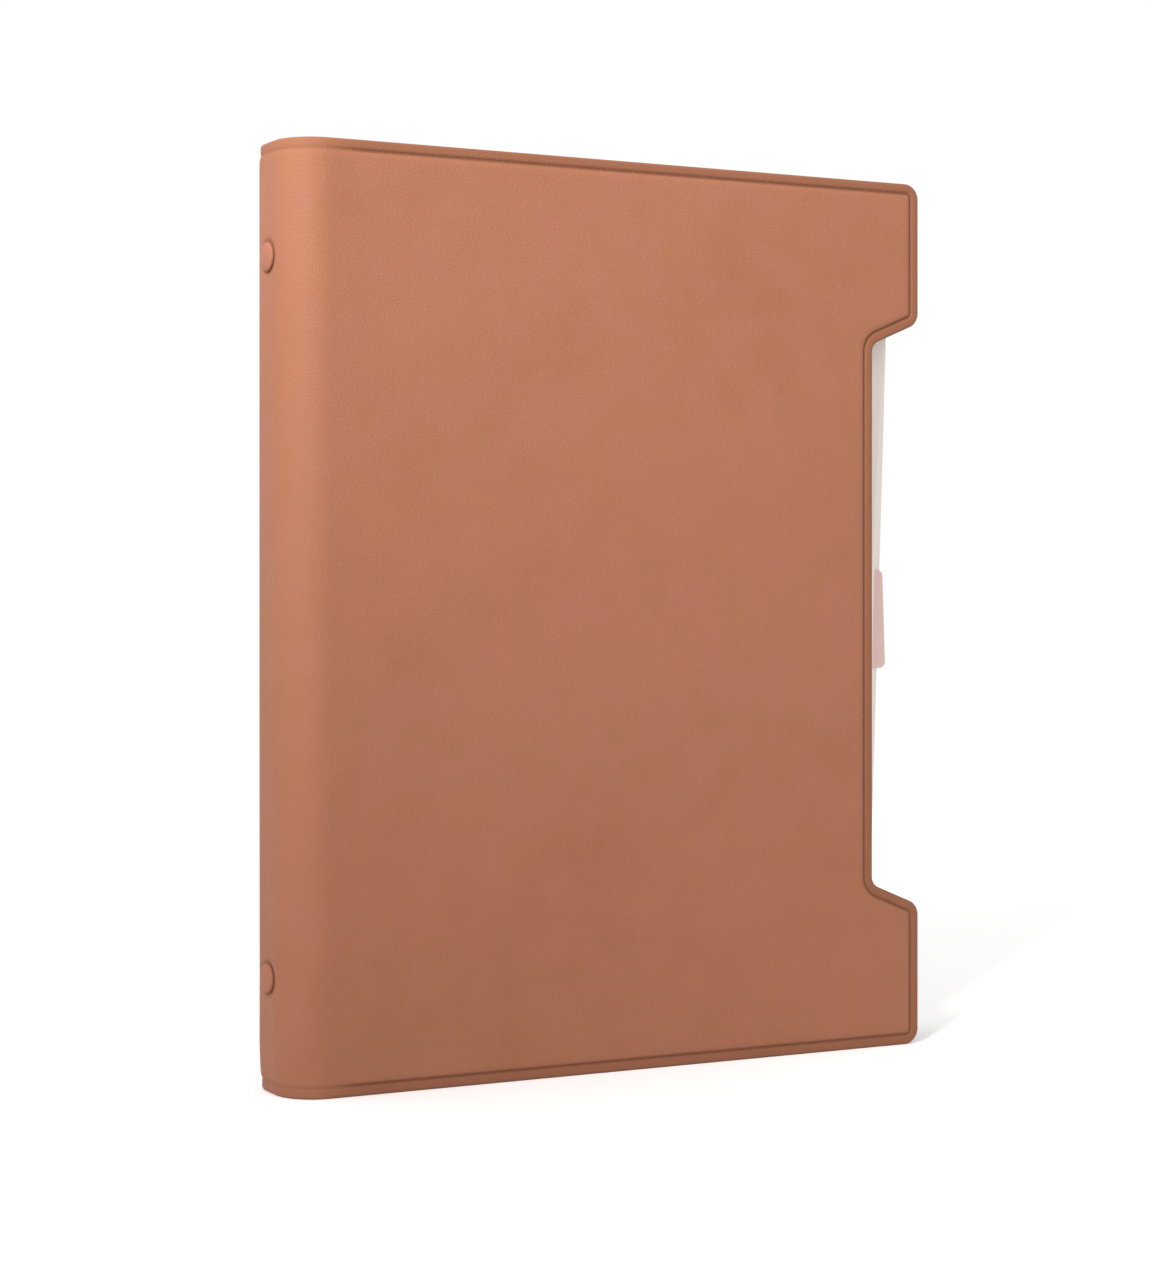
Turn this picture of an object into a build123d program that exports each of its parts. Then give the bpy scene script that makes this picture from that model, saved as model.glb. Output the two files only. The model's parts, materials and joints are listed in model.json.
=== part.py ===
"""Scrapbook album: a soft rounded-spine cover on a six-ring mechanism, with dividers and leaves.

Frame: +Z up along the spine, +X from the spine to the fore edge, front cover on the -Y side.
The origin is under the middle of the standing album. All sizes are in millimetres.
"""

import os

from build123d import *

# Driving sizes of the closed album
ALBUM_HEIGHT = 235.0
ALBUM_WIDTH = 185.0
ALBUM_THICKNESS = 28.5

# Rivet heads stand out of the spine, so the cover sits half of that off centre
RIVET_HEAD_HEIGHT = 1.0
RIVET_HEAD_RADIUS = 3.7
RIVET_SHANK_RADIUS = 1.6
RIVET_SPACING = 178.0
SPINE_X = -(ALBUM_WIDTH - RIVET_HEAD_HEIGHT) / 2
FORE_EDGE_X = SPINE_X + ALBUM_WIDTH
MIDDLE_Z = ALBUM_HEIGHT / 2
RIVET_HEIGHTS = (MIDDLE_Z - RIVET_SPACING / 2, MIDDLE_Z + RIVET_SPACING / 2)

# Cover: two welded sheets round a board, with a pressed line and a lower rim along its edges
SHEET = 0.65
BOARD = 1.3
COVER = 2 * SHEET + BOARD
WELD_DEPTH = COVER / 2
RIM_DROP = 0.3
RIM_WIDTH = 2.4
LINE_WIDTH = 0.7
LINE_DEPTH = 0.25
BOARD_INSET = 3.6
CORNER_RADIUS = 4.2

# Spine: rounded corners, then a short flat up to the line where the cover bends
SPINE_RADIUS = 11.0
HINGE_X = SPINE_X + SPINE_RADIUS + 1.0
HINGE_GAP = 0.1
OUTER_HALF = ALBUM_THICKNESS / 2
INNER_HALF = OUTER_HALF - COVER

# Finger notch in the fore edge of each cover
NOTCH_DEPTH = 15.0
NOTCH_MOUTH = 159.0
NOTCH_FLOOR = 146.5
NOTCH_CORNER_RADIUS = 3.2

# Ring mechanism
PLATE_THICKNESS = 1.0
PLATE_WIDTH = 6.0
PLATE_LENGTH = 206.0
MOUNT_X = SPINE_X + COVER + PLATE_THICKNESS
HOUSING_LENGTH = 216.0
HOUSING_HALF = 6.4
HOUSING_SHEET = 0.8
HOUSING_HEIGHT = 4.5
CROWN_HALF = 3.4
SHOULDER_HEIGHT = 3.2
LIP_WIDTH = 1.2
LIP_HEIGHT = 0.7
CROWN_X = MOUNT_X + HOUSING_HEIGHT

BLADE_THICKNESS = 0.9
BLADE_HALF = 5.1
BLADE_X = MOUNT_X + 2.2
BLADE_GAP = 0.25
BLADE_LENGTH = 202.0
BLADE_TILT = 6.5

RING_RADIUS = 8.2
WIRE_RADIUS = 1.15
RING_X = BLADE_X + 7.2
RING_TIP_GAP = 0.05
RING_ROOT_Y = 2.2
RING_OFFSETS = (35.0, 54.0, 73.0)
RING_HEIGHTS = [MIDDLE_Z - step for step in reversed(RING_OFFSETS)]
RING_HEIGHTS += [MIDDLE_Z + step for step in RING_OFFSETS]

LEVER_WIDTH = 7.0
LEVER_SHEET = 1.0
LEVER_PIVOT_INSET = 3.0
LEVER_TIP_X = MOUNT_X + 9.0
LEVER_TAIL = 1.6
LEVER_BEND_REACH = 1.2
LEVER_TAB_REACH = 3.0
LEVER_BEND_RADIUS = 2.0
LEVER_TIP_ROUND = 0.4

# Leaves and dividers on the rings
LEAF_HEIGHT = 210.0
LEAF_WIDTH = 150.0
LEAF_BLOCK = 1.3
DIVIDER_HEIGHT = 218.0
DIVIDER_WIDTH = 164.5
DIVIDER_THICKNESS = 0.5
SHEET_CORNER = 4.0
HOLE_RADIUS = 3.0
HOLE_MARGIN = 6.0
DIVIDER_HOLE_SHIFT = 0.95
OUTER_HOLE_SHIFT = 0.4
INNER_HOLE_SHIFT = -0.3
DIVIDER_Y = 4.05
OUTER_LEAF_Y = 2.85
INNER_LEAF_Y = 1.25
TAB_HEIGHT = 27.0
TAB_REACH = 1.2
TAB_LAP = 7.0
TAB_CARD = 0.5
TAB_CORNER = 1.5

FAR = 400.0


def cover_profile(inset):
    """One cover panel in the plane of the cover, with every free edge moved in by inset."""
    mouth = NOTCH_MOUTH / 2
    floor = NOTCH_FLOOR / 2
    past_spine = SPINE_X - BOARD_INSET
    outline = [
        (past_spine, 0),
        (FORE_EDGE_X, 0),
        (FORE_EDGE_X, MIDDLE_Z - mouth),
        (FORE_EDGE_X - NOTCH_DEPTH, MIDDLE_Z - floor),
        (FORE_EDGE_X - NOTCH_DEPTH, MIDDLE_Z + floor),
        (FORE_EDGE_X, MIDDLE_Z + mouth),
        (FORE_EDGE_X, ALBUM_HEIGHT),
        (past_spine, ALBUM_HEIGHT),
    ]
    with BuildSketch() as profile:
        with BuildLine():
            Polyline(*outline, close=True)
        make_face()
        fillet(profile.vertices().sort_by(Axis.X)[2:4], NOTCH_CORNER_RADIUS)
        fillet(profile.vertices().group_by(Axis.X)[-1], CORNER_RADIUS)
        if inset > 0:
            offset(amount=-inset)
        with Locations((HINGE_X + HINGE_GAP, 0)):
            Rectangle(ALBUM_WIDTH, ALBUM_HEIGHT, align=(Align.MIN, Align.MIN), mode=Mode.INTERSECT)
    return profile.sketch


def cover_plane(side, depth):
    """Plane of a cover layer, depth below the outer face; side is -1 in front and +1 behind."""
    return Plane.XZ.offset(-side * (OUTER_HALF - depth))


def spine_profile(depth):
    """Section of the spine's outer shape, shrunk by depth."""
    with BuildSketch() as section:
        with Locations((SPINE_X + depth, 0)):
            Rectangle(
                HINGE_X - SPINE_X - depth,
                ALBUM_THICKNESS - 2 * depth,
                align=(Align.MIN, Align.CENTER),
            )
        fillet(section.vertices().group_by(Axis.X)[0], SPINE_RADIUS - depth)
    return section.sketch


def spine_band(outer_depth, inner_depth):
    """Section of one layer that wraps round the spine."""
    with BuildSketch() as band:
        add(spine_profile(outer_depth))
        add(spine_profile(inner_depth), mode=Mode.SUBTRACT)
    return band.sketch


def finish(builder, label):
    """Name a finished piece and write it."""
    builder.part.label = label
    export_step(builder.part, f"parts/{label}.step")


def make_cover(name, side):
    """Outer sheet, board and lining of one cover."""
    inner_line = RIM_WIDTH + LINE_WIDTH

    with BuildPart() as skin:
        with BuildSketch(cover_plane(side, WELD_DEPTH)):
            add(cover_profile(0))
        extrude(amount=-side * (WELD_DEPTH - RIM_DROP))
        with BuildSketch(cover_plane(side, RIM_DROP)):
            add(cover_profile(inner_line))
        extrude(amount=-side * RIM_DROP)
        with BuildSketch(cover_plane(side, RIM_DROP + LINE_DEPTH)):
            add(cover_profile(RIM_WIDTH))
            add(cover_profile(inner_line), mode=Mode.SUBTRACT)
        extrude(amount=-side * LINE_DEPTH, mode=Mode.SUBTRACT)
        with BuildSketch(cover_plane(side, WELD_DEPTH)):
            add(cover_profile(BOARD_INSET))
        extrude(amount=-side * BOARD / 2, mode=Mode.SUBTRACT)
    finish(skin, f"{name}_skin")

    with BuildPart() as board:
        with BuildSketch(cover_plane(side, SHEET + BOARD)):
            add(cover_profile(BOARD_INSET))
        extrude(amount=-side * BOARD)
    finish(board, f"{name}_board")

    with BuildPart() as lining:
        with BuildSketch(cover_plane(side, COVER)):
            add(cover_profile(0))
        extrude(amount=-side * (COVER - WELD_DEPTH))
        with BuildSketch(cover_plane(side, SHEET + BOARD)):
            add(cover_profile(BOARD_INSET))
        extrude(amount=-side * BOARD / 2, mode=Mode.SUBTRACT)
    finish(lining, f"{name}_lining")


def make_spine():
    """Outer sheet, flexible core and lining that wrap round the spine."""
    inner_line = RIM_WIDTH + LINE_WIDTH
    raised = ALBUM_HEIGHT - 2 * inner_line
    core_height = ALBUM_HEIGHT - 2 * BOARD_INSET

    with BuildPart() as skin:
        with BuildSketch():
            add(spine_band(RIM_DROP, WELD_DEPTH))
        extrude(amount=ALBUM_HEIGHT)
        with BuildSketch(Plane.XY.offset(inner_line)):
            add(spine_band(0, RIM_DROP))
        extrude(amount=raised)
        for line_z in (RIM_WIDTH, ALBUM_HEIGHT - inner_line):
            with BuildSketch(Plane.XY.offset(line_z)):
                add(spine_band(RIM_DROP, RIM_DROP + LINE_DEPTH))
            extrude(amount=LINE_WIDTH, mode=Mode.SUBTRACT)
        with BuildSketch(Plane.XY.offset(BOARD_INSET)):
            add(spine_band(SHEET, WELD_DEPTH))
        extrude(amount=core_height, mode=Mode.SUBTRACT)
        rivet_holes(SPINE_X, COVER)
    finish(skin, "spine_skin")

    with BuildPart() as core:
        with BuildSketch(Plane.XY.offset(BOARD_INSET)):
            add(spine_band(SHEET, SHEET + BOARD))
        extrude(amount=core_height)
        rivet_holes(SPINE_X, COVER)
    finish(core, "spine_core")

    with BuildPart() as lining:
        with BuildSketch():
            add(spine_band(WELD_DEPTH, COVER))
        extrude(amount=ALBUM_HEIGHT)
        with BuildSketch(Plane.XY.offset(BOARD_INSET)):
            add(spine_band(WELD_DEPTH, SHEET + BOARD))
        extrude(amount=core_height, mode=Mode.SUBTRACT)
        rivet_holes(SPINE_X, COVER)
    finish(lining, "spine_lining")


def rivet_holes(start_x, depth):
    """Cut the two rivet holes, from start_x, out of the part being built."""
    for rivet_z in RIVET_HEIGHTS:
        with Locations(Location((start_x, 0, rivet_z), (0, 90, 0))):
            Cylinder(
                RIVET_SHANK_RADIUS,
                depth,
                align=(Align.CENTER, Align.CENTER, Align.MIN),
                mode=Mode.SUBTRACT,
            )


def make_rivets():
    """Two rivets: domed head outside, shank through spine and plate, set head on the crown."""
    head_end = SPINE_X - RIVET_HEAD_HEIGHT
    shank_end = CROWN_X
    set_radius = 3.0
    set_height = 0.8
    head_edge = 0.35
    dome_fall = 0.2
    dome_radius = RIVET_HEAD_RADIUS * 0.6
    with BuildPart() as rivets:
        for rivet_z in RIVET_HEIGHTS:
            with BuildSketch(Plane.XZ):
                with BuildLine():
                    Polyline(
                        (shank_end + set_height, rivet_z),
                        (head_end, rivet_z),
                    )
                    ThreePointArc(
                        (head_end, rivet_z),
                        (head_end + dome_fall, rivet_z + dome_radius),
                        (SPINE_X - head_edge, rivet_z + RIVET_HEAD_RADIUS),
                    )
                    Polyline(
                        (SPINE_X - head_edge, rivet_z + RIVET_HEAD_RADIUS),
                        (SPINE_X, rivet_z + RIVET_HEAD_RADIUS),
                        (SPINE_X, rivet_z + RIVET_SHANK_RADIUS),
                        (shank_end, rivet_z + RIVET_SHANK_RADIUS),
                        (shank_end, rivet_z + set_radius),
                        (shank_end + set_height, rivet_z + set_radius - set_height / 2),
                        (shank_end + set_height, rivet_z),
                    )
                make_face()
            revolve(axis=Axis((0, 0, rivet_z), (1, 0, 0)))
    finish(rivets, "rivets")


def make_plate():
    """Backing plate between the spine lining and the ring housing."""
    with BuildPart() as plate:
        with Locations((SPINE_X + COVER, 0, MIDDLE_Z)):
            Box(
                PLATE_THICKNESS,
                PLATE_WIDTH,
                PLATE_LENGTH,
                align=(Align.MIN, Align.CENTER, Align.CENTER),
            )
        rivet_holes(SPINE_X + COVER, PLATE_THICKNESS)
    finish(plate, "backing_plate")


def make_housing():
    """Pressed channel that holds the two blades, with a slot for each half ring."""
    inner_half = HOUSING_HALF - HOUSING_SHEET
    shoulder_fall = 0.4 * HOUSING_SHEET
    crown_narrowing = 0.3
    slot_depth_below_blade = 0.6
    slot_slack = 1.0
    slot_inner_y = 2.8
    outer_channel = [
        (MOUNT_X, -HOUSING_HALF),
        (MOUNT_X + SHOULDER_HEIGHT, -HOUSING_HALF),
        (CROWN_X, -CROWN_HALF),
        (CROWN_X, CROWN_HALF),
        (MOUNT_X + SHOULDER_HEIGHT, HOUSING_HALF),
        (MOUNT_X, HOUSING_HALF),
    ]
    inner_shoulder_x = MOUNT_X + SHOULDER_HEIGHT - shoulder_fall
    inner_crown_x = CROWN_X - HOUSING_SHEET
    inner_crown_half = CROWN_HALF - crown_narrowing
    inner_channel = [
        (MOUNT_X, -inner_half),
        (inner_shoulder_x, -inner_half),
        (inner_crown_x, -inner_crown_half),
        (inner_crown_x, inner_crown_half),
        (inner_shoulder_x, inner_half),
        (MOUNT_X, inner_half),
    ]
    with BuildPart() as housing:
        with BuildSketch(Plane.XY.offset(MIDDLE_Z - HOUSING_LENGTH / 2)):
            with BuildLine():
                Polyline(*outer_channel, close=True)
            make_face()
            with BuildLine():
                Polyline(*inner_channel, close=True)
            make_face(mode=Mode.SUBTRACT)
            for side in (-1, 1):
                with Locations((MOUNT_X + LIP_HEIGHT / 2, side * (inner_half - LIP_WIDTH / 2))):
                    Rectangle(LIP_HEIGHT, LIP_WIDTH)
        extrude(amount=HOUSING_LENGTH)
        for ring_z in RING_HEIGHTS:
            for side in (-1, 1):
                with Locations((BLADE_X - slot_depth_below_blade, side * (slot_inner_y + FAR / 2), ring_z)):
                    Box(
                        HOUSING_HEIGHT,
                        FAR,
                        2 * WIRE_RADIUS + slot_slack,
                        align=(Align.MIN, Align.CENTER, Align.CENTER),
                        mode=Mode.SUBTRACT,
                    )
        rivet_holes(MOUNT_X, HOUSING_HEIGHT)
    finish(housing, "ring_housing")


def make_blade(name, side):
    """Hinge blade: turns on its outer edge inside the housing and carries six half rings."""
    edge_radius = BLADE_THICKNESS / 2
    shank_gap = 0.6
    rivet_clearance = RIVET_SHANK_RADIUS + shank_gap
    with BuildPart() as blade:
        with BuildSketch(Plane.XY.offset(MIDDLE_Z - BLADE_LENGTH / 2)):
            with Locations(Location((BLADE_X, side * BLADE_HALF), -side * (90 + BLADE_TILT))):
                Rectangle(
                    BLADE_HALF - BLADE_GAP,
                    BLADE_THICKNESS,
                    align=(Align.MIN, Align.CENTER),
                )
                Circle(edge_radius)
        extrude(amount=BLADE_LENGTH)
        for rivet_z in RIVET_HEIGHTS:
            with Locations((BLADE_X, 0, rivet_z)):
                Box(FAR, 2 * rivet_clearance, 4 * rivet_clearance, mode=Mode.SUBTRACT)
    finish(blade, f"{name}_blade")


def blade_top_plane(side):
    """Upper face of a blade, facing the rings."""
    across = Plane((BLADE_X, side * BLADE_HALF, 0), x_dir=(0, 0, 1), z_dir=(1, 0, 0))
    return across.rotated((side * BLADE_TILT, 0, 0)).offset(BLADE_THICKNESS / 2)


def make_half_rings(name, side):
    """Six half rings, from the blade's upper face round to the closing gap."""
    tip_y = side * RING_TIP_GAP
    tip_x = RING_X + RING_RADIUS
    root_y = side * RING_ROOT_Y
    root_x = RING_X - (RING_RADIUS**2 - RING_ROOT_Y**2) ** 0.5
    for number, ring_z in enumerate(RING_HEIGHTS, start=1):
        with BuildPart() as half_ring:
            with BuildLine(Plane.XY.offset(ring_z)) as path:
                ThreePointArc((tip_x, tip_y), (RING_X, side * RING_RADIUS), (root_x, root_y))
            with BuildSketch(Plane((tip_x, tip_y, ring_z), x_dir=(1, 0, 0), z_dir=(0, side, 0))):
                Circle(WIRE_RADIUS)
            sweep(path=path.wire())
            split(bisect_by=blade_top_plane(side), keep=Keep.TOP)
        finish(half_ring, f"{name}_ring_{number}")


def make_lever(name, end):
    """Opening lever at one end of the housing; end is -1 at the bottom and +1 at the top."""
    end_z = MIDDLE_Z + end * HOUSING_LENGTH / 2
    pivot_z = end_z - end * LEVER_PIVOT_INSET
    arm_z = pivot_z - end * LEVER_TAIL
    bend_z = end_z + end * LEVER_BEND_REACH
    tab_z = end_z + end * LEVER_TAB_REACH
    with BuildPart() as lever:
        with BuildSketch(Plane.XZ.offset(-LEVER_WIDTH / 2)):
            with BuildLine():
                FilletPolyline(
                    (BLADE_X, arm_z),
                    (BLADE_X, bend_z),
                    (LEVER_TIP_X, tab_z),
                    radius=LEVER_BEND_RADIUS,
                )
            trace(line_width=LEVER_SHEET)
        extrude(amount=LEVER_WIDTH)
        fillet(lever.edges().filter_by(Axis.Y).group_by(Axis.X)[-1], LEVER_TIP_ROUND)
    finish(lever, f"{name}_lever")


def wire_crossing_x(sheet_y):
    """Where the closed rings pass through a sheet lying at sheet_y."""
    return RING_X + (RING_RADIUS**2 - sheet_y**2) ** 0.5


def make_sheet(label, sheet_y, hole_shift, thickness, width, height):
    """A punched divider, or a block of punched leaves, centred on sheet_y.

    The holes stand hole_shift beyond the closed wire, in the middle of the wire's travel through them.
    """
    hole_x = wire_crossing_x(sheet_y) + hole_shift
    left_x = hole_x - HOLE_MARGIN
    with BuildPart() as sheet:
        with BuildSketch(Plane.XZ.offset(-sheet_y - thickness / 2)):
            with Locations((left_x + width / 2, MIDDLE_Z)):
                RectangleRounded(width, height, SHEET_CORNER)
            with Locations(*[(hole_x, ring_z) for ring_z in RING_HEIGHTS]):
                Circle(HOLE_RADIUS, mode=Mode.SUBTRACT)
        extrude(amount=thickness)
    finish(sheet, label)


def make_divider_tab():
    """Index tab glued to the back of the front divider, standing out past its fore edge."""
    fore_x = wire_crossing_x(DIVIDER_Y) + DIVIDER_HOLE_SHIFT - HOLE_MARGIN + DIVIDER_WIDTH
    back_face_y = DIVIDER_Y - DIVIDER_THICKNESS / 2
    with BuildPart() as tab:
        with BuildSketch(Plane.XZ.offset(back_face_y)):
            with Locations((fore_x + (TAB_REACH - TAB_LAP) / 2, MIDDLE_Z)):
                RectangleRounded(TAB_REACH + TAB_LAP, TAB_HEIGHT, TAB_CORNER)
        extrude(amount=-TAB_CARD)
    finish(tab, "divider_tab")


os.makedirs("parts", exist_ok=True)
make_spine()
make_rivets()
make_plate()
make_housing()
for name, side in (("front", -1), ("back", 1)):
    make_cover(name, side)
    make_blade(name, side)
    make_half_rings(name, side)
    for layer, sheet_y, hole_shift in (
        ("outer", OUTER_LEAF_Y, OUTER_HOLE_SHIFT),
        ("inner", INNER_LEAF_Y, INNER_HOLE_SHIFT),
    ):
        make_sheet(f"{name}_{layer}_leaves", side * sheet_y, hole_shift, LEAF_BLOCK, LEAF_WIDTH, LEAF_HEIGHT)
    make_sheet(
        f"{name}_divider",
        side * DIVIDER_Y,
        DIVIDER_HOLE_SHIFT,
        DIVIDER_THICKNESS,
        DIVIDER_WIDTH,
        DIVIDER_HEIGHT,
    )
for name, end in (("bottom", -1), ("top", 1)):
    make_lever(name, end)
make_divider_tab()
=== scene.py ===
import json
import math

import bmesh
import bpy
from mathutils import Matrix, Vector, noise
from mathutils.geometry import delaunay_2d_cdt


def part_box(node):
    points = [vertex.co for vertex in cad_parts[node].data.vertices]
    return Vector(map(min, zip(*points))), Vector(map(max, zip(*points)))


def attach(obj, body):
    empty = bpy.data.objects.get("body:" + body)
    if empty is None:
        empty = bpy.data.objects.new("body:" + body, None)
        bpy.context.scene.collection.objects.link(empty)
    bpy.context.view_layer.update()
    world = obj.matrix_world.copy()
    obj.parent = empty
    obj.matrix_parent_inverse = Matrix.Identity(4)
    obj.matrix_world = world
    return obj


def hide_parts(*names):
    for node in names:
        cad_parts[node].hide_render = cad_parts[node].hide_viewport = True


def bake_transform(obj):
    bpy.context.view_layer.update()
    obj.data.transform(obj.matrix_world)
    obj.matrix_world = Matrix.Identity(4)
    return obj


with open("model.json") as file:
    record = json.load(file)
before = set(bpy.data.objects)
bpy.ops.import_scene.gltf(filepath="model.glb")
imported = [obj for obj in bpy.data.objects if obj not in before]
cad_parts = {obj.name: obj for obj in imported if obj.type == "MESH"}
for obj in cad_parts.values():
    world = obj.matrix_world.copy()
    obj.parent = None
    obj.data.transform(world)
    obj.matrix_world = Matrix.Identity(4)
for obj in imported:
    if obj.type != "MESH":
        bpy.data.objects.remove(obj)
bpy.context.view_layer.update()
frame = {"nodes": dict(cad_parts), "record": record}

MM = 0.001

# The closed album, read from the frame
SPINE_LOW, SPINE_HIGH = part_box("spine_skin")
SKIN_LOW, SKIN_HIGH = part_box("front_skin")
LINING_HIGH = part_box("front_lining")[1]
HEIGHT = SPINE_HIGH.z
MIDDLE_Z = HEIGHT / 2
SPINE_X = SPINE_LOW.x
HINGE_X = SPINE_HIGH.x
FORE_X = SKIN_HIGH.x
HALF = -SPINE_LOW.y
COVER = LINING_HIGH.y - SKIN_LOW.y
SPINE_RADIUS = HINGE_X - SPINE_X - 1 * MM
SPINE_FLAT = HALF - SPINE_RADIUS
CORNER_LENGTH = SPINE_RADIUS * math.pi / 2
BEND_S = SPINE_FLAT + CORNER_LENGTH
FORE_S = BEND_S + FORE_X - SPINE_X - SPINE_RADIUS

# Rivets, in pairs on the spine's middle line
RIVET_LOW, RIVET_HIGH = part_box("rivets")
RIVET_RADIUS = (RIVET_HIGH.y - RIVET_LOW.y) / 2
RIVET_HEIGHTS = (RIVET_LOW.z + RIVET_RADIUS, RIVET_HIGH.z - RIVET_RADIUS)

DIMPLE_REACH = 1.8 * RIVET_RADIUS
DIMPLE_DEPTH = 0.45 * MM
DIMPLE_STEP = 0.5 * MM
DIMPLE_SPOKES = 16

# Edges of the cover
NOTCH_DEPTH = 15 * MM
NOTCH_MOUTH = 159 * MM
NOTCH_FLOOR = 146.5 * MM
CORNER_RADIUS = 4.2 * MM
NOTCH_CORNER_RADIUS = 3.2 * MM
RIM_DROP = 0.3 * MM
EDGE_RADIUS = 0.8 * MM
LINE_INSET = 2.7 * MM
LINE_HALF = 0.46 * MM
LINE_DEPTH = 0.42 * MM
LINING_LINE = 0.5  # depth of the lining's line, as a share of the outer one
# The rim and the welded line are darkened with painted shade
PAINTED_RIM_SHADE = 0.52  # darkening of the rim, as a share of the pressed line's
SPINE_LINE = 0.3  # strength of the line round the spine
SPINE_TUCK = 0.45 * MM
SPINE_TUCK_HEIGHT = 12 * MM
PANEL_START = 2.5 * MM
PANEL_FULL = 4.6 * MM
BORDER = 7.0 * MM
PANEL_STEP = 4.5 * MM
ARC_STEPS = 7

# Punched sheets
SHEET_CORNER = 4 * MM
HOLE_MARGIN = 6 * MM
HOLE_RADIUS = 3 * MM
HOLE_SIDES = 24
LEAVES = 6
LEAF_SHARE = 0.55  # a leaf's thickness, as a share of its place in the block
CARD_THICKNESS = 0.4 * MM

# How the front divider hangs: its angle on the rings, and the curl of its lower fore edge
HANG = math.radians(1.15)
BACK_HANG = 0.4 * HANG
CURL = 4.5 * MM
CURL_START_X = 74 * MM
CURL_FULL_X = 90 * MM
CURL_TOP = 25 * MM
CURL_HEIGHT = 120 * MM
TAB_RAISE = 1.5 * MM
TAB_TURN = math.radians(4.5)
TAB_CORNER = 1.6 * MM
TAB_SOFTEN = 0.15 * MM

# Camera and key light
CAMERA_TURN = math.radians(27.9)
CAMERA_AIM = Vector((-82.7 * MM, -HALF, 126.5 * MM))
CAMERA_DISTANCE = 0.670
CAMERA_SIDESTEP = 0.0613
LENS = 77.3
SHIFT_Y = -0.046
KEY_PLACE = (-0.82, -0.64, 0.74)
KEY_TARGET = (-0.06, 0, 0.335)
KEY_SIZE = (0.3, 0.3)
KEY_POWER = 1.38
KEY_BEAM_DEGREES = 38
FLOOR_REACH = 6.0


def smooth(value, low, high):
    """0 below low, 1 above high, and a smooth step between them."""
    t = min(max((value - low) / (high - low), 0), 1)
    return t * t * (3 - 2 * t)


def spread(low, high, step):
    """Evenly spaced values from low to high, about step apart."""
    count = max(1, round((high - low) / step))
    return [low + (high - low) * i / count for i in range(count + 1)]


# ---------------------------------------------------------------- camera and studio


def make_camera():
    """Level camera in front and to the left of the album."""
    ahead = Vector((math.sin(CAMERA_TURN), math.cos(CAMERA_TURN), 0))
    across = Vector((math.cos(CAMERA_TURN), -math.sin(CAMERA_TURN), 0))
    data = bpy.data.cameras.new("camera")
    data.sensor_width = 36
    data.lens = LENS
    data.shift_y = SHIFT_Y
    data.clip_start = 0.01
    camera = bpy.data.objects.new("camera", data)
    camera.location = CAMERA_AIM - ahead * CAMERA_DISTANCE + across * CAMERA_SIDESTEP
    camera.rotation_mode = "QUATERNION"
    camera.rotation_quaternion = ahead.to_track_quat("-Z", "Y")
    bpy.context.scene.collection.objects.link(camera)
    bpy.context.scene.camera = camera


def area_light(name, place, target, size, power, beam_degrees):
    """Soft square light at place, aimed at target, with its beam kept within beam_degrees."""
    data = bpy.data.lights.new(name, "AREA")
    data.shape = "RECTANGLE"
    data.size, data.size_y = size
    data.energy = power
    data.spread = math.radians(beam_degrees)
    light = bpy.data.objects.new(name, data)
    light.location = place
    light.rotation_mode = "QUATERNION"
    light.rotation_quaternion = (Vector(target) - Vector(place)).to_track_quat("-Z", "Y")
    bpy.context.scene.collection.objects.link(light)


def make_studio():
    """White floor, white surroundings and one soft light from the upper left."""
    bpy.context.scene.view_settings.view_transform = "Standard"
    world = bpy.data.worlds.new("studio")
    world.use_nodes = True
    world.node_tree.nodes["Background"].inputs["Color"].default_value = (1, 1, 1, 1)
    world.node_tree.nodes["Background"].inputs["Strength"].default_value = 1.0
    bpy.context.scene.world = world
    area_light("key", KEY_PLACE, KEY_TARGET, KEY_SIZE, KEY_POWER, KEY_BEAM_DEGREES)

    material = bpy.data.materials.new("studio_paper")
    material.use_nodes = True
    shader = material.node_tree.nodes["Principled BSDF"]
    shader.inputs["Base Color"].default_value = (1, 1, 1, 1)
    shader.inputs["Roughness"].default_value = 1.0
    shader.inputs["Specular IOR Level"].default_value = 0.0
    mesh = bpy.data.meshes.new("floor")
    corners = [(x * FLOOR_REACH, y * FLOOR_REACH, 0) for x, y in ((-1, -1), (1, -1), (1, 1), (-1, 1))]
    mesh.from_pydata(corners, [], [(0, 1, 2, 3)])
    mesh.materials.append(material)
    floor = bpy.data.objects.new("floor", mesh)
    bpy.context.scene.collection.objects.link(floor)


# ---------------------------------------------------------------- materials


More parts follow.
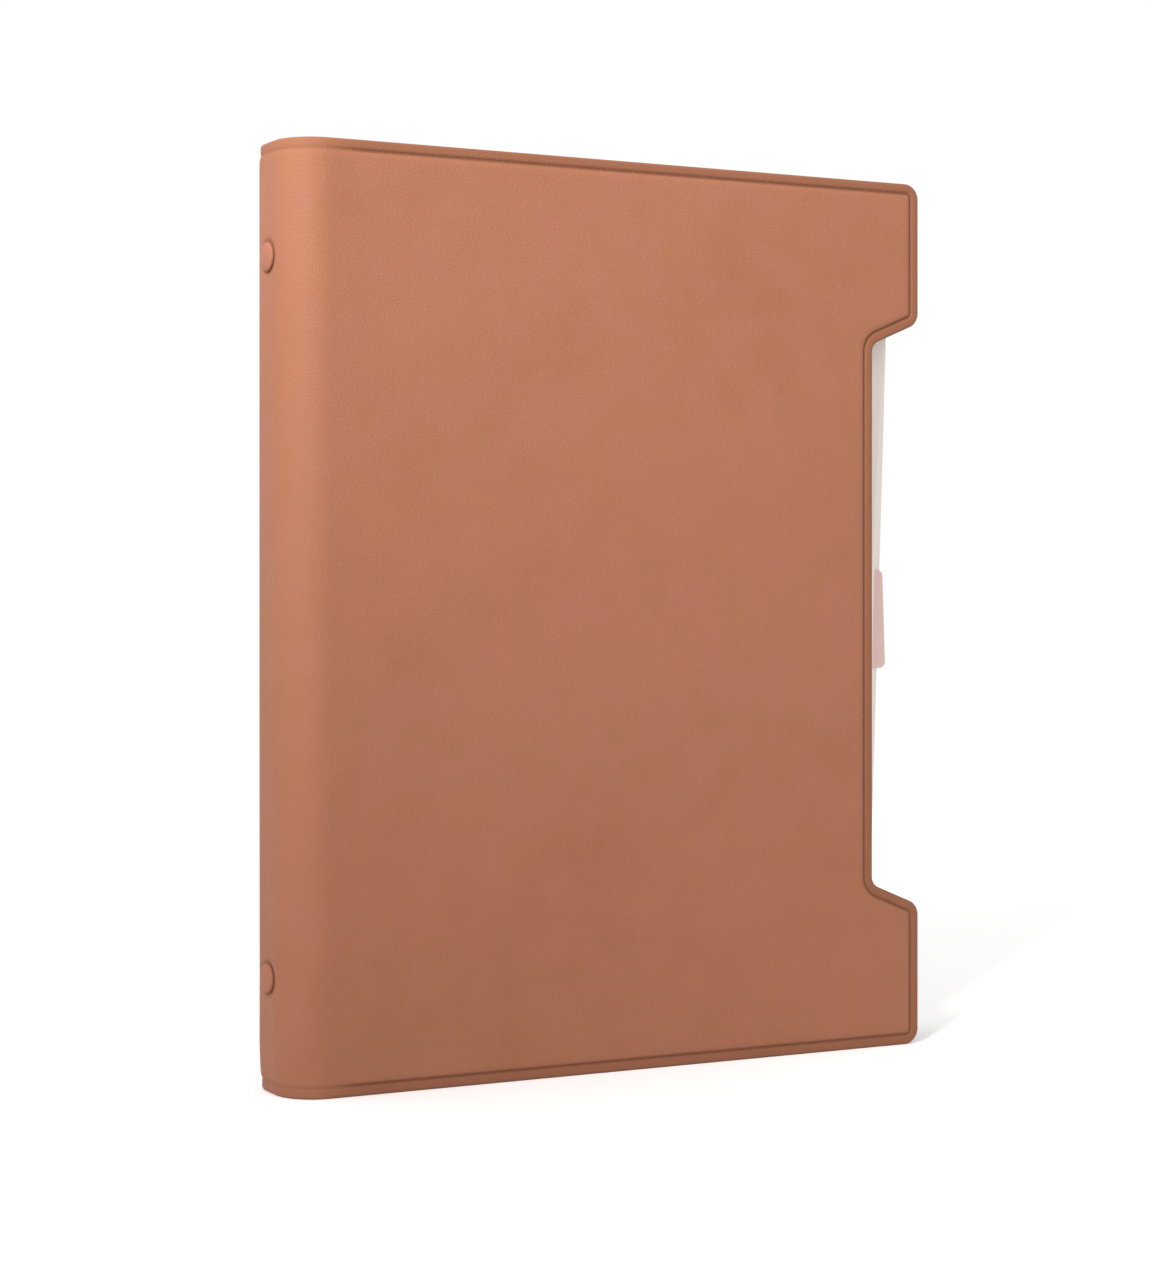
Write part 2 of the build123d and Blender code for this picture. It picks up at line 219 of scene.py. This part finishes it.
class Nodes:
    """Short way to write a material's node tree."""

    def __init__(self, name):
        self.material = bpy.data.materials.new(name)
        self.material.use_nodes = True
        self.tree = self.material.node_tree
        self.shader = self.tree.nodes["Principled BSDF"]
        self.place = self.add("ShaderNodeTexCoord").outputs["Object"]

    def add(self, kind, **settings):
        node = self.tree.nodes.new(kind)
        for key, value in settings.items():
            if hasattr(node, key):
                setattr(node, key, value)
            else:
                node.inputs[key.replace("_", " ")].default_value = value
        return node

    def join(self, source, node, socket):
        self.tree.links.new(source, node.inputs[socket])

    def noise(self, scale, detail=3.0, roughness=0.5, distortion=0.0):
        node = self.add("ShaderNodeTexNoise")
        node.inputs["Scale"].default_value = scale
        node.inputs["Detail"].default_value = detail
        node.inputs["Roughness"].default_value = roughness
        node.inputs["Distortion"].default_value = distortion
        self.join(self.place, node, "Vector")
        return node.outputs["Fac"]

    def cells(self, scale, feature="DISTANCE_TO_EDGE"):
        node = self.add("ShaderNodeTexVoronoi", feature=feature)
        node.inputs["Scale"].default_value = scale
        self.join(self.place, node, "Vector")
        return node.outputs["Distance"]

    def ramp(self, source, *stops):
        node = self.add("ShaderNodeValToRGB")
        elements = node.color_ramp.elements
        while len(elements) < len(stops):
            elements.new(0.5)
        for element, (position, colour) in zip(elements, stops):
            element.position = position
            element.color = (*colour, 1)
        self.join(source, node, "Fac")
        return node.outputs["Color"]

    def mix(self, amount, first, second, blend="MIX"):
        node = self.add("ShaderNodeMix", data_type="RGBA", blend_type=blend)
        for socket, value in ((0, amount), (6, first), (7, second)):
            if hasattr(value, "is_output"):
                self.tree.links.new(value, node.inputs[socket])
            elif socket == 0:
                node.inputs[socket].default_value = value
            else:
                node.inputs[socket].default_value = (*value, 1)
        return node.outputs[2]

    def range(self, source, low, high, to_low, to_high):
        node = self.add("ShaderNodeMapRange")
        node.inputs["From Min"].default_value = low
        node.inputs["From Max"].default_value = high
        node.inputs["To Min"].default_value = to_low
        node.inputs["To Max"].default_value = to_high
        self.join(source, node, "Value")
        return node.outputs["Result"]

    def attribute(self, name):
        return self.add("ShaderNodeAttribute", attribute_name=name).outputs["Fac"]

    def bump(self, source, depth, before=None):
        node = self.add("ShaderNodeBump")
        node.inputs["Strength"].default_value = 1.0
        node.inputs["Distance"].default_value = depth
        self.join(source, node, "Height")
        if before is not None:
            self.join(before, node, "Normal")
        return node.outputs["Normal"]

    def set(self, **values):
        for key, value in values.items():
            socket = self.shader.inputs[key.replace("_", " ")]
            if hasattr(value, "is_output"):
                self.tree.links.new(value, socket)
            elif isinstance(value, tuple):
                socket.default_value = (*value, 1)
            else:
                socket.default_value = value


def leather(name, base, dark, painted_shade, grain):
    """Matt fine-grained faux leather, mottled from base to dark and with pinker patches.

    Where the mesh's attribute marks painted shade, in the welded line, over the rim and round the
    rivets, it takes the darker colour given for that painted shade, unless that is None. The grain
    scales how deep the pores and creases are.
    """
    nodes = Nodes(name)
    clouds = nodes.noise(22, detail=4, roughness=0.6, distortion=0.6)
    patches = nodes.noise(80, detail=3, roughness=0.55)
    flecks = nodes.noise(160, detail=4, roughness=0.65)
    colour = nodes.ramp(clouds, (0.32, dark), (0.68, base))
    blush = (1.01 * base[0], 0.98 * base[1], 1.12 * base[2])
    colour = nodes.mix(nodes.range(patches, 0.4, 0.62, 0.0, 0.7), colour, blush)
    shade = nodes.range(flecks, 0.3, 0.7, 0.0, 0.22)
    colour = nodes.mix(shade, colour, dark)
    # Painted shade in the welded line, over the rim and round the rivets
    if painted_shade is not None:
        colour = nodes.mix(nodes.attribute("painted_shade"), colour, painted_shade)
    pores = nodes.cells(1150)
    creases = nodes.noise(620, detail=5, roughness=0.6)
    soft = nodes.noise(60, detail=2)
    normal = nodes.bump(nodes.range(pores, 0.0, 0.25, 0, 1), 0.045 * MM * grain)
    normal = nodes.bump(creases, 0.08 * MM * grain, normal)
    normal = nodes.bump(soft, 0.25 * MM, normal)
    nodes.set(
        Base_Color=colour,
        Roughness=nodes.range(flecks, 0.3, 0.7, 0.52, 0.66),
        Specular_IOR_Level=0.12,
        Normal=normal,
        Sheen_Weight=0.02,
        Sheen_Roughness=0.5,
    )
    return nodes.material


def metal(name, colour, roughness, brushed):
    """Plated or plain steel with fine drawing marks and faint handling smears."""
    nodes = Nodes(name)
    stretch = nodes.add("ShaderNodeMapping")
    stretch.inputs["Scale"].default_value = (1, 1, 0.02)
    nodes.join(nodes.place, stretch, "Vector")
    marks = nodes.add("ShaderNodeTexNoise")
    marks.inputs["Scale"].default_value = 2600
    marks.inputs["Detail"].default_value = 3
    nodes.join(stretch.outputs["Vector"], marks, "Vector")
    smears = nodes.noise(90, detail=3)
    tint = tuple(0.82 * part for part in colour)
    nodes.set(
        Base_Color=nodes.ramp(smears, (0.3, tint), (0.7, colour)),
        Metallic=1.0,
        Roughness=nodes.range(smears, 0.3, 0.7, roughness, roughness + 0.12),
        Normal=nodes.bump(marks.outputs["Fac"], brushed * MM),
    )
    return nodes.material


def paper(name, base, shade, tooth):
    """Uncoated paper or card: faint fibres, small flecks and a soft tooth."""
    nodes = Nodes(name)
    fibres = nodes.noise(900, detail=5, roughness=0.7)
    patches = nodes.noise(35, detail=2)
    colour = nodes.ramp(patches, (0.3, shade), (0.7, base))
    colour = nodes.mix(nodes.range(fibres, 0.35, 0.75, 0.0, 0.25), colour, shade)
    nodes.set(
        Base_Color=colour,
        Roughness=nodes.range(fibres, 0.3, 0.7, 0.78, 0.92),
        Specular_IOR_Level=0.2,
        Normal=nodes.bump(fibres, tooth * MM),
    )
    return nodes.material


def make_materials():
    """Every material of the album, by the record's slot name where it has one."""
    return {
        "cover": leather(
            # base, dark mottling, painted shade of the welded line and rim, and grain
            "cover_leather", (0.272, 0.1085, 0.058), (0.248, 0.0965, 0.050), (0.15, 0.056, 0.028), 1.0
        ),
        "lining": leather(
            # base, dark mottling, painted shade of the welded line and rim, and grain
            "cover_lining", (0.275, 0.109, 0.061), (0.25, 0.097, 0.054), (0.15, 0.053, 0.029), 0.5
        ),
        "rivet": leather("rivet_paint", (0.28, 0.111, 0.062), (0.255, 0.099, 0.054), None, 0.25),
        "tab": leather("tab_leather", (0.73, 0.535, 0.455), (0.68, 0.495, 0.415), None, 0.4),
        "rings": metal("ring_chrome", (0.80, 0.80, 0.81), 0.16, 0.002),
        "blades": metal("blade_steel", (0.56, 0.56, 0.57), 0.32, 0.01),
        "leaf": paper("leaf_paper", (0.83, 0.80, 0.735), (0.81, 0.778, 0.71), 0.02),
        "divider": paper("divider_card", (0.80, 0.735, 0.68), (0.775, 0.705, 0.65), 0.03),
        "board": paper("cover_board", (0.40, 0.37, 0.33), (0.33, 0.30, 0.27), 0.08),
        "core": paper("spine_core", (0.72, 0.71, 0.68), (0.66, 0.65, 0.62), 0.01),
    }


# ---------------------------------------------------------------- mesh helpers


def new_piece(name, bm, body, slot, *materials):
    """Object from a bmesh, smooth shaded, riding on a body unless body is None."""
    mesh = bpy.data.meshes.new(name)
    bm.to_mesh(mesh)
    bm.free()
    for polygon in mesh.polygons:
        polygon.use_smooth = True
    for material in materials:
        mesh.materials.append(material)
    piece = bpy.data.objects.new(name, mesh)
    bpy.context.scene.collection.objects.link(piece)
    if body is not None:
        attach(piece, body)
    return piece


def rounded_path(corners, inset, first, last):
    """Open path past corners, moved left by inset; each corner is (point, radius) and gets an arc.

    Returns one list of points for each corner, ready to be joined by straight runs.
    """
    points = [first, *[point for point, _ in corners], last]
    shifted = []
    for start, end in zip(points, points[1:]):
        along = (end - start).normalized()
        left = Vector((-along.y, along.x))
        shifted.append((start + left * inset, along))
    arcs = []
    for (point, radius), (base, into), (after, out) in zip(corners, shifted, shifted[1:]):
        cross = into.x * out.y - into.y * out.x
        gap = after - base
        corner = base + into * ((gap.x * out.y - gap.y * out.x) / cross)
        turn = math.atan2(cross, into.dot(out))
        bend = radius - inset if turn > 0 else radius + inset
        bend = max(bend, 0.3 * MM)
        reach = bend * math.tan(abs(turn) / 2)
        side = 1 if turn > 0 else -1
        centre = corner - into * reach + Vector((-into.y, into.x)) * bend * side
        spoke = corner - into * reach - centre
        arc = []
        for i in range(ARC_STEPS + 1):
            angle = turn * i / ARC_STEPS
            arc.append(centre + Matrix.Rotation(angle, 2) @ spoke)
        arcs.append(arc)
    return arcs


# ---------------------------------------------------------------- cover


def wrap(s, z, depth, side):
    """Point of the cover at distance s from the spine's middle line, depth below the outer face."""
    depth += SPINE_TUCK * (1 - smooth(z, 0, SPINE_TUCK_HEIGHT)) * (1 - smooth(s, SPINE_FLAT, BEND_S))
    radius = SPINE_RADIUS - depth
    if s <= SPINE_FLAT:
        return Vector((SPINE_X + depth, side * s, z))
    if s <= BEND_S:
        angle = (s - SPINE_FLAT) / SPINE_RADIUS
        x = SPINE_X + SPINE_RADIUS - radius * math.cos(angle)
        return Vector((x, side * (SPINE_FLAT + radius * math.sin(angle)), z))
    return Vector((SPINE_X + SPINE_RADIUS + s - BEND_S, side * (HALF - depth), z))


def cover_rows():
    """Distances from the spine's middle where the cover gets a row of points."""
    bend_end = BEND_S + 16 * MM
    return spread(0, bend_end, 1.0 * MM) + spread(bend_end, FORE_S - 24 * MM, 5 * MM)[1:]


def cover_loop(inset):
    """The cover's free edge from the bottom of the spine round to its top, moved in by inset."""
    mouth = NOTCH_MOUTH / 2
    floor = NOTCH_FLOOR / 2
    notch_s = FORE_S - NOTCH_DEPTH
    corners = [
        (Vector((FORE_S, 0)), CORNER_RADIUS),
        (Vector((FORE_S, MIDDLE_Z - mouth)), CORNER_RADIUS),
        (Vector((notch_s, MIDDLE_Z - floor)), NOTCH_CORNER_RADIUS),
        (Vector((notch_s, MIDDLE_Z + floor)), NOTCH_CORNER_RADIUS),
        (Vector((FORE_S, MIDDLE_Z + mouth)), CORNER_RADIUS),
        (Vector((FORE_S, HEIGHT)), CORNER_RADIUS),
    ]
    arcs = rounded_path(corners, inset, Vector((0, 0)), Vector((0, HEIGHT)))
    rows = cover_rows()
    loop = [Vector((s, inset)) for s in rows]
    run_counts = (1, 10, 2, 24, 2, 10)
    for arc, count in zip(arcs, run_counts):
        start = loop[-1]
        loop += [start.lerp(arc[0], i / count) for i in range(1, count)]
        loop += arc
    loop += [Vector((s, HEIGHT - inset)) for s in reversed(rows)]
    return loop


def pressed_amount(inset):
    """How strongly the welded line is pressed at a distance from the edge."""
    return math.exp(-(((inset - LINE_INSET) / LINE_HALF) ** 2))


def painted_edge_shade(inset):
    """How much painted shade darkens the leather: most in the welded line, less over the whole rim.
    """
    rim = PAINTED_RIM_SHADE * (1 - smooth(inset, LINE_INSET, LINE_INSET + 0.9 * MM))
    return max(pressed_amount(inset), rim)


def line_strength(s):
    """The pressed line is fainter round the spine than on the flat of the cover."""
    return SPINE_LINE + (1 - SPINE_LINE) * smooth(s, BEND_S - 2 * MM, BEND_S + 10 * MM)


def outer_depth(inset):
    """Depth of the outer face below the raised panel, without the pressed line."""
    return RIM_DROP * (1 - smooth(inset, PANEL_START, PANEL_FULL))


def border_insets():
    """Distances from the edge where the border gets a loop of points."""
    line = spread(LINE_INSET - 2.2 * LINE_HALF, LINE_INSET + 2.2 * LINE_HALF, 0.13 * MM)
    panel = [3.9 * MM, 4.3 * MM, 4.8 * MM, 5.6 * MM, BORDER]
    return [1.35 * MM, *line, *panel]


def cover_section():
    """(inset, depth, painted shade, groove) of every loop, from the outer panel round to the lining.

    The groove is how much deeper the pressed line lies there at full strength.
    """
    steps = 5
    section = []
    for inset in reversed(border_insets()):
        amount = pressed_amount(inset)
        section.append((inset, outer_depth(inset), painted_edge_shade(inset), LINE_DEPTH * amount))
    for i in range(steps + 1):
        angle = math.pi / 2 * i / steps
        inset = EDGE_RADIUS * (1 - math.sin(angle))
        section.append((inset, RIM_DROP + EDGE_RADIUS * (1 - math.cos(angle)), PAINTED_RIM_SHADE, 0))
    for i in range(steps + 1):
        angle = math.pi / 2 * i / steps
        inset = EDGE_RADIUS * (1 - math.cos(angle))
        section.append((inset, COVER - EDGE_RADIUS * (1 - math.sin(angle)), PAINTED_RIM_SHADE, 0))
    for inset in border_insets():
        amount = pressed_amount(inset)
        section.append((inset, COVER, painted_edge_shade(inset), -LINING_LINE * LINE_DEPTH * amount))
    return section


def near_rivet(point):
    """Distance from a point (s, z) of the unrolled cover to the nearer rivet's centre."""
    return min((point - Vector((0, z))).length for z in RIVET_HEIGHTS)


def rivet_dimple(point):
    """The leather is drawn in under each rivet head and rises just outside it."""
    gap = near_rivet(point)
    return DIMPLE_DEPTH * (1 - smooth(gap, RIVET_RADIUS * 0.9, RIVET_RADIUS * 1.55))


def painted_rivet_shade(point):
    """How much painted shade darkens the ring round each rivet head, where the dimple's shadow falls.
    """
    gap = near_rivet(point)
    return 0.6 * math.exp(-(((gap - 1.12 * RIVET_RADIUS) / (0.12 * RIVET_RADIUS)) ** 2))


def clear_of_rivets(point):
    """Whether a point (s, z) lies outside the finer points round the rivets."""
    return near_rivet(point) > DIMPLE_REACH + 0.8 * MM


def dimple_radii():
    """Distances from a rivet's centre where the panel gets a ring of points."""
    return spread(0.5 * RIVET_RADIUS, DIMPLE_REACH, DIMPLE_STEP)


def panel_heights():
    """Heights of the panel's rows of points."""
    return spread(BORDER, HEIGHT - BORDER, PANEL_STEP)[1:-1]


def panel_points():
    """Inner points of the unrolled cover panel, denser where it bends and round the rivets."""
    points = []
    for s in cover_rows()[1:]:
        for z in panel_heights():
            point = Vector((s, z))
            if clear_of_rivets(point):
                points.append(point)
    notch_s = FORE_S - NOTCH_DEPTH - BORDER
    points = [p for p in points if p.x < notch_s - 2 * MM]
    for centre in RIVET_HEIGHTS:
        for radius in dimple_radii():
            for i in range(1, DIMPLE_SPOKES):
                angle = math.pi * i / DIMPLE_SPOKES - math.pi / 2
                offset = Vector((math.cos(angle), math.sin(angle))) * radius
                points.append(Vector((0, centre)) + offset)
    return points


def spine_line():
    """Heights of the points on the spine's middle line, shared by both halves of the cover."""
    heights = [z for z in panel_heights() if clear_of_rivets(Vector((0, z)))]
    radii = dimple_radii()
    for centre in RIVET_HEIGHTS:
        heights += [centre, *[centre + r for r in radii], *[centre - r for r in radii]]
    return sorted(heights, reverse=True)


def fill_panel(loop):
    """Triangles over the panel inside the innermost loop: (points, faces), loop points first."""
    outline = loop + [Vector((0, z)) for z in spine_line()]
    edges = [(i, (i + 1) % len(outline)) for i in range(len(outline))]
    points = outline + panel_points()
    found, _, faces, _, _, _ = delaunay_2d_cdt(points, edges, [], 1, 1e-9)
    return found, faces


def make_cover_half(name, side, materials):
    """Continuous soft cover from the spine's middle line to the fore edge, outer face and lining."""
    bm = bmesh.new()
    # Per-vertex painted shade of the welded line, the rim and the rings round the rivets
    painted_shade = bm.verts.layers.float.new("painted_shade")
    section = cover_section()
    loops = []
    for inset, depth, amount, groove in section:
        row = []
        for point in cover_loop(inset):
            strength = line_strength(point.x)
            vertex = bm.verts.new(wrap(point.x, point.y, depth + groove * strength, side))
            vertex[painted_shade] = amount * strength
            row.append(vertex)
        loops.append(row)
    half_way = len(section) // 2
    for number, (near, far) in enumerate(zip(loops, loops[1:])):
        for i in range(len(near) - 1):
            face = bm.faces.new((near[i], near[i + 1], far[i + 1], far[i]))
            face.material_index = 0 if number < half_way else 1
    for row, outside in ((loops[0], True), (loops[-1], False)):
        inset = section[0][0]
        points, faces = fill_panel(cover_loop(inset))
        vertices = list(row)
        for point in points[len(row):]:
            depth = rivet_dimple(point) if outside else COVER
            vertex = bm.verts.new(wrap(point.x, point.y, depth, side))
            # painted shade round the rivets on the outer face, none on the lining
            vertex[painted_shade] = painted_rivet_shade(point) if outside else 0
            vertices.append(vertex)
        for corners in faces:
            face = bm.faces.new([vertices[i] for i in corners])
            face.material_index = 0 if outside else 1
    seam = [edge for edge in bm.edges if edge.is_boundary]
    bmesh.ops.holes_fill(bm, edges=seam, sides=len(seam))
    bmesh.ops.triangulate(bm, faces=[face for face in bm.faces if len(face.verts) > 4])
    bmesh.ops.recalc_face_normals(bm, faces=bm.faces)
    piece = new_piece(name, bm, None, "cover_leather", materials["cover"], materials["lining"])
    piece.data.set_sharp_from_angle(angle=math.radians(60))
    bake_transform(piece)
    return piece


def make_covers(materials):
    """Both halves of the soft cover."""
    front = make_cover_half("front_jacket", -1, materials)
    back = make_cover_half("back_jacket", 1, materials)
    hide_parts("front_skin", "front_lining", "spine_skin")
    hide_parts("back_skin", "back_lining", "spine_lining")


# ---------------------------------------------------------------- leaves, dividers and tab


def ring_heights():
    """Heights of the six rings."""
    found = []
    for number in range(1, 7):
        low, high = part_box(f"front_ring_{number}")
        found.append((low.z + high.z) / 2)
    return found


def sheet_outline(low, high, radius):
    """Closed outline of a sheet with rounded corners, in x and z, anticlockwise."""
    outline = []
    centres = [
        (high.x - radius, low.z + radius),
        (high.x - radius, high.z - radius),
        (low.x + radius, high.z - radius),
        (low.x + radius, low.z + radius),
    ]
    for quarter, (x, z) in enumerate(centres):
        for i in range(ARC_STEPS + 1):
            angle = math.pi / 2 * (quarter - 1 + i / ARC_STEPS)
            outline.append(Vector((x + radius * math.cos(angle), z + radius * math.sin(angle))))
    return outline


def punched_holes(hole_x, angle):
    """Centres of the holes in a sheet that hangs at angle, so that each stays over its ring."""
    holes = []
    for ring_z in ring_heights():
        rise = ring_z - MIDDLE_Z
        holes.append(Vector((hole_x - rise * math.sin(angle), MIDDLE_Z + rise * math.cos(angle))))
    return holes


def sheet_mesh(low, high, holes, step):
    """Flat triangles of a punched sheet: (points, faces), in x and z."""
    points = sheet_outline(low, high, SHEET_CORNER)
    edges = [(i, (i + 1) % len(points)) for i in range(len(points))]
    for centre in holes:
        first = len(points)
        for i in range(HOLE_SIDES):
            angle = 2 * math.pi * i / HOLE_SIDES
            points.append(centre + Vector((math.cos(angle), math.sin(angle))) * HOLE_RADIUS)
            edges.append((first + i, first + (i + 1) % HOLE_SIDES))
    for x in spread(low.x, high.x, step)[1:-1]:
        for z in spread(low.z, high.z, step)[1:-1]:
            point = Vector((x, z))
            if all((point - hole).length > HOLE_RADIUS * 1.3 for hole in holes):
                points.append(point)
    found, _, faces, _, _, _ = delaunay_2d_cdt(points, edges, [], 1, 1e-9)
    kept = []
    for corners in faces:
        middle = sum((found[i] for i in corners), Vector((0, 0))) / len(corners)
        if all((middle - hole).length > HOLE_RADIUS * 0.97 for hole in holes):
            kept.append(corners)
    return found, kept


def add_sheet(bm, flat, place, thickness):
    """Closed thin sheet: place(x, z) gives its middle point and thickness is along Y."""
    points, faces = flat
    layers = []
    for side in (-0.5, 0.5):
        offset = Vector((0, side * thickness, 0))
        layers.append([bm.verts.new(place(p.x, p.y) + offset) for p in points])
    used = {}
    for corners in faces:
        bm.faces.new([layers[0][i] for i in corners])
        bm.faces.new([layers[1][i] for i in reversed(corners)])
        for a, b in zip(corners, (*corners[1:], corners[0])):
            used[(a, b)] = used.get((a, b), 0) + 1
    for a, b in used:
        if (b, a) not in used:
            bm.faces.new((layers[0][b], layers[0][a], layers[1][a], layers[1][b]))


def flat_shade_edges(piece):
    """Sharp edges where the faces of a thin sheet meet its rim."""
    piece.data.set_sharp_from_angle(angle=math.radians(40))


def make_leaf_block(node, body, seed, materials):
    """A block of loose leaves, each slightly out of line with the next."""
    low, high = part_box(node)
    gap = (high.y - low.y) / LEAVES
    flat = sheet_mesh(low, high, punched_holes(low.x + HOLE_MARGIN, 0), 9 * MM)
    bm = bmesh.new()
    for number in range(LEAVES):
        y = low.y + gap * (number + 0.5)
        slip = 0.10 * MM * noise.noise(Vector((seed, number, 0.5)))

        def place(x, z, y=y, slip=slip):
            run = (x - low.x) / (high.x - low.x)
            return Vector((x + slip, y, z + slip * run))

        add_sheet(bm, flat, place, LEAF_SHARE * gap)
    bmesh.ops.recalc_face_normals(bm, faces=bm.faces)
    piece = new_piece(f"{node}_sheets", bm, body, "leaf_paper", materials["leaf"])
    flat_shade_edges(piece)
    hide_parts(node)


def hung(x, z, y, pivot_x, angle, curl):
    """A point of a sheet that hangs at angle, with its lower fore edge curled back."""
    dx, dz = x - pivot_x, z - MIDDLE_Z
    away = smooth(x, CURL_START_X, CURL_FULL_X) * smooth(MIDDLE_Z + CURL_TOP - z, 0, CURL_HEIGHT)
    return Vector((
        pivot_x + dx * math.cos(angle) + dz * math.sin(angle),
        y + curl * away,
        MIDDLE_Z + dz * math.cos(angle) - dx * math.sin(angle),
    ))


def make_divider(side_name, angle, curl, materials):
    """Card divider, punched a little askew, so that it hangs at angle."""
    node = f"{side_name}_divider"
    low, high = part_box(node)
    hole_x = low.x + HOLE_MARGIN
    middle_y = (low.y + high.y) / 2
    flat = sheet_mesh(low, high, punched_holes(hole_x, angle), 3.5 * MM)
    bm = bmesh.new()
    add_sheet(bm, flat, lambda x, z: hung(x, z, middle_y, hole_x, angle, curl), CARD_THICKNESS)
    bmesh.ops.recalc_face_normals(bm, faces=bm.faces)
    piece = new_piece(f"{node}_card", bm, f"{node}_sheet", "divider_card", materials["divider"])
    flat_shade_edges(piece)
    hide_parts(node)


def make_tab(angle, curl, materials):
    """Index tab glued, a little askew, to the back of the front divider."""
    low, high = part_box("divider_tab")
    hole_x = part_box("front_divider")[0].x + HOLE_MARGIN
    middle_y = (low.y + high.y) / 2
    outline = sheet_outline(low, high, TAB_CORNER)
    bm = bmesh.new()
    layers = []
    half = (high.y - low.y) / 2
    shoulder = half - TAB_SOFTEN * 0.6
    centre = Vector(((low.x + high.x) / 2, (low.z + high.z) / 2))
    turn = Matrix.Rotation(TAB_TURN, 2)
    for y, shrink in ((-half, TAB_SOFTEN), (-shoulder, 0), (shoulder, 0), (half, TAB_SOFTEN)):
        row = []
        for point in outline:
            inward = (centre - point).normalized() * shrink
            flat = centre + turn @ (point + inward - centre)
            place = hung(flat.x, flat.y + TAB_RAISE, middle_y + y, hole_x, angle, curl)
            row.append(bm.verts.new(place))
        layers.append(row)
    for near, far in zip(layers, layers[1:]):
        for i in range(len(near)):
            j = (i + 1) % len(near)
            bm.faces.new((near[i], near[j], far[j], far[i]))
    bm.faces.new(layers[0])
    bm.faces.new(list(reversed(layers[-1])))
    bmesh.ops.recalc_face_normals(bm, faces=bm.faces)
    piece = new_piece("tab_leather", bm, "front_divider_sheet", "tab_leather", materials["tab"])
    piece.data.set_sharp_from_angle(angle=math.radians(50))
    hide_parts("divider_tab")


# ---------------------------------------------------------------- rivets and the CAD pieces that stay


def make_rivets(materials):
    """Turned rivets: low domed head outside, shank, and set head inside the crown."""
    rise = SPINE_X - RIVET_LOW.x
    inner_x = RIVET_HIGH.x
    crown_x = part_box("ring_housing")[1].x
    under_x = SPINE_X + 0.3 * MM
    shank = 1.6 * MM
    dome_steps = 8
    head = []
    for i in range(dome_steps + 1):
        angle = math.pi / 2 * i / dome_steps
        head.append((SPINE_X - rise * math.cos(angle) ** 0.8, RIVET_RADIUS * math.sin(angle)))
    profile = [
        *head,
        (under_x, RIVET_RADIUS - 0.1 * MM),
        (under_x, shank),
        (crown_x, shank),
        (crown_x, 3.0 * MM),
        (crown_x + 0.35 * MM, 2.9 * MM),
        (inner_x, 2.2 * MM),
        (inner_x, 0.0),
    ]
    steps = 40
    bm = bmesh.new()
    for z in RIVET_HEIGHTS:
        rows = []
        for x, radius in profile:
            if radius == 0:
                rows.append([bm.verts.new((x, 0, z))] * steps)
                continue
            ring = []
            for i in range(steps):
                angle = 2 * math.pi * i / steps
                ring.append(bm.verts.new((x, radius * math.cos(angle), z + radius * math.sin(angle))))
            rows.append(ring)
        for near, far in zip(rows, rows[1:]):
            for i in range(steps):
                j = (i + 1) % steps
                corners = [near[i], near[j], far[j], far[i]]
                unique = [v for n, v in enumerate(corners) if v not in corners[:n]]
                bm.faces.new(unique)
    bmesh.ops.recalc_face_normals(bm, faces=bm.faces)
    piece = new_piece("rivet_pair", bm, "spine", "rivet_paint", materials["rivet"])
    piece.data.set_sharp_from_angle(angle=math.radians(45))
    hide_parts("rivets")


def paint_nodes(materials):
    """Materials of the CAD pieces that keep their own meshes."""
    looks = {
        "ring_chrome": "rings",
        "blade_steel": "blades",
        "cover_board": "board",
        "spine_core": "core",
    }
    slots = {entry["node"]: entry["material_slot"] for entry in frame["record"]["subparts"]}
    for node, piece in frame["nodes"].items():
        look = looks.get(slots[node])
        if look is None:
            continue
        piece.data.materials.clear()
        piece.data.materials.append(materials[look])


make_camera()
make_studio()
materials = make_materials()
make_covers(materials)
for side_name, seed in (("front", 4), ("back", 6)):
    for layer in ("outer", "inner"):
        block = f"{side_name}_{layer}"
        make_leaf_block(f"{block}_leaves", f"{block}_block", seed, materials)
make_divider("front", HANG, CURL, materials)
make_divider("back", BACK_HANG, 0, materials)
make_tab(HANG, CURL, materials)
make_rivets(materials)
paint_nodes(materials)
